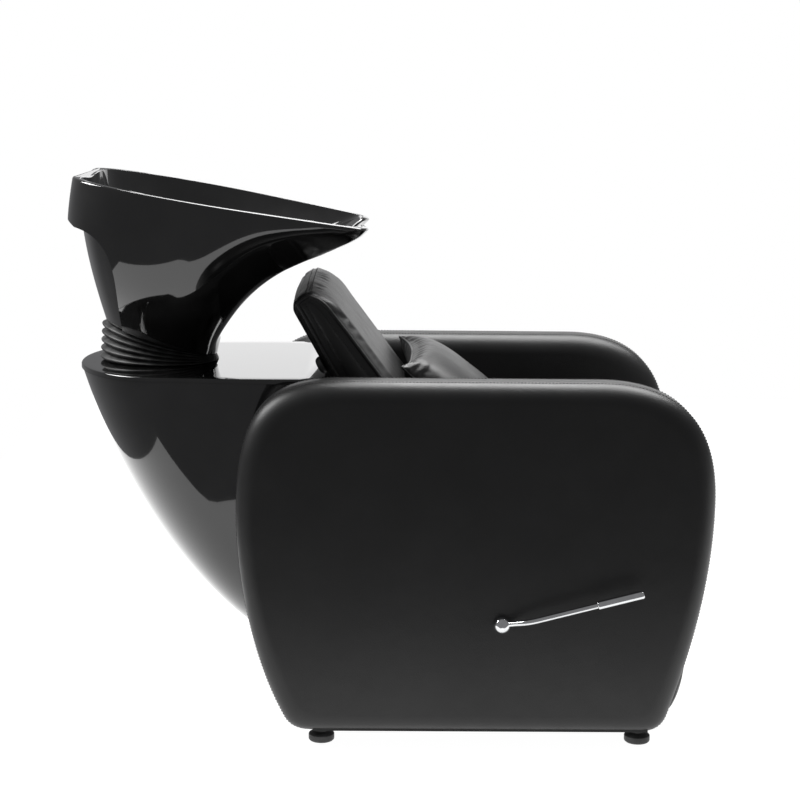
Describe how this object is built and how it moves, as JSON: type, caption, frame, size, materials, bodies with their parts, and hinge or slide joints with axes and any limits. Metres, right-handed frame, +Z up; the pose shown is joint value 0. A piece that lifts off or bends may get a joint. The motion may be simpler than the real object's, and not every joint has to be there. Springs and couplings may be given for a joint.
{
  "type": "shampoo backwash unit",
  "caption": "Upholstered salon wash chair with lifting leg-rest and side lever, joined to a gloss pedestal with a tilting basin and rubber bellows.",
  "frame": {"origin": "on the floor under the middle of the whole unit's box", "axes": "+X towards the client's feet, +Y away from the lever side, +Z up"},
  "size_m": [1.147, 0.7556, 0.988],
  "materials": {
    "black_leather": "semi-matt grained upholstery",
    "gloss_black": "polished high gloss",
    "black_rubber": "matt moulded",
    "chrome": "polished",
    "painted_steel": "black powder coat",
    "zinc_steel": "zinc plated",
    "plywood": "raw sanded",
    "grey_plastic": "moulded"
  },
  "bodies": {
    "chassis": {"arm_cover_near": "black_leather", "arm_cover_far": "black_leather", "seat_cushion": "black_leather", "backrest_cushion": "black_leather", "pedestal_shell": "gloss_black", "deck_panel": "gloss_black", "foot_near_rear": "black_rubber", "foot_near_front": "black_rubber", "foot_far_rear": "black_rubber", "foot_far_front": "black_rubber", "backrest_bumper_near": "black_rubber", "backrest_bumper_far": "black_rubber", "bellows": "black_rubber", "waste_cuff": "black_rubber", "lever_escutcheon": "chrome", "base_frame": "painted_steel", "basin_stand": "painted_steel", "tilt_yoke": "painted_steel", "backrest_bracket_near": "painted_steel", "backrest_bracket_far": "painted_steel", "legrest_hanger_near": "painted_steel", "legrest_hanger_far": "painted_steel", "tilt_pin_near": "zinc_steel", "tilt_pin_far": "zinc_steel", "arm_frame_near": "plywood", "arm_frame_far": "plywood", "arm_base_board_near": "plywood", "arm_base_board_far": "plywood", "seat_rail_near": "plywood", "seat_rail_far": "plywood", "seat_board": "plywood", "backrest_board": "plywood", "friction_washer_near": "grey_plastic", "friction_washer_far": "grey_plastic", "waste_pipe": "grey_plastic", "shaft_bearing_near": "grey_plastic", "shaft_bearing_far": "grey_plastic"},
    "basin": {"basin": "gloss_black", "drain_body": "chrome", "drain_gasket": "black_rubber", "drain_nut": "grey_plastic", "basin_hanger": "painted_steel"},
    "strainer": {"hair_strainer": "chrome"},
    "lever": {"drive_shaft": "zinc_steel", "crank_near": "zinc_steel", "crank_far": "zinc_steel", "lever_hub": "chrome", "lever_rod": "chrome", "lever_grip": "chrome"},
    "links": {"link_near": "zinc_steel", "link_far": "zinc_steel"},
    "legrest": {"legrest_board": "plywood", "legrest_pad": "black_leather", "legrest_bracket_near": "painted_steel", "legrest_bracket_far": "painted_steel"},
    "pillow": {"lumbar_pillow": "black_leather"}
  },
  "joints": [
    {"name": "basin_tilt", "type": "hinge", "parent": "chassis", "child": "basin", "pos_m": [-0.41748, 0.01975, 0.672], "axis": [0, 1, 0], "range_deg": [-14, 2], "deforming": ["bellows", "waste_cuff"]},
    {"name": "strainer_lift", "type": "slide", "parent": "basin", "child": "strainer", "axis": [0.1676, 0, 0.9859], "range_m": [0, 0.03]},
    {"name": "legrest_lift", "type": "hinge", "parent": "chassis", "child": "legrest", "pos_m": [0.54852, 0.01975, 0.372], "axis": [0, -1, 0], "range_deg": [0, 80]},
    {"name": "lever_turn", "type": "hinge", "parent": "chassis", "child": "lever", "pos_m": [0.20352, 0.01975, 0.232], "axis": [0, -1, 0], "range_deg": [0, 90]},
    {"name": "link_swing", "type": "hinge", "parent": "lever", "child": "links", "pos_m": [0.11079, 0.01975, 0.16707], "axis": [0, -1, 0], "range_deg": [-90, 0]},
    {"name": "pillow_lift", "type": "slide", "parent": "chassis", "child": "pillow", "axis": [0, 0, 1], "range_m": [0, 0.12]}
  ],
  "couplings": [
    {"joint": "lever_turn", "follows": "legrest_lift", "ratio": 1.125},
    {"joint": "link_swing", "follows": "legrest_lift", "ratio": -1.1175}
  ]
}
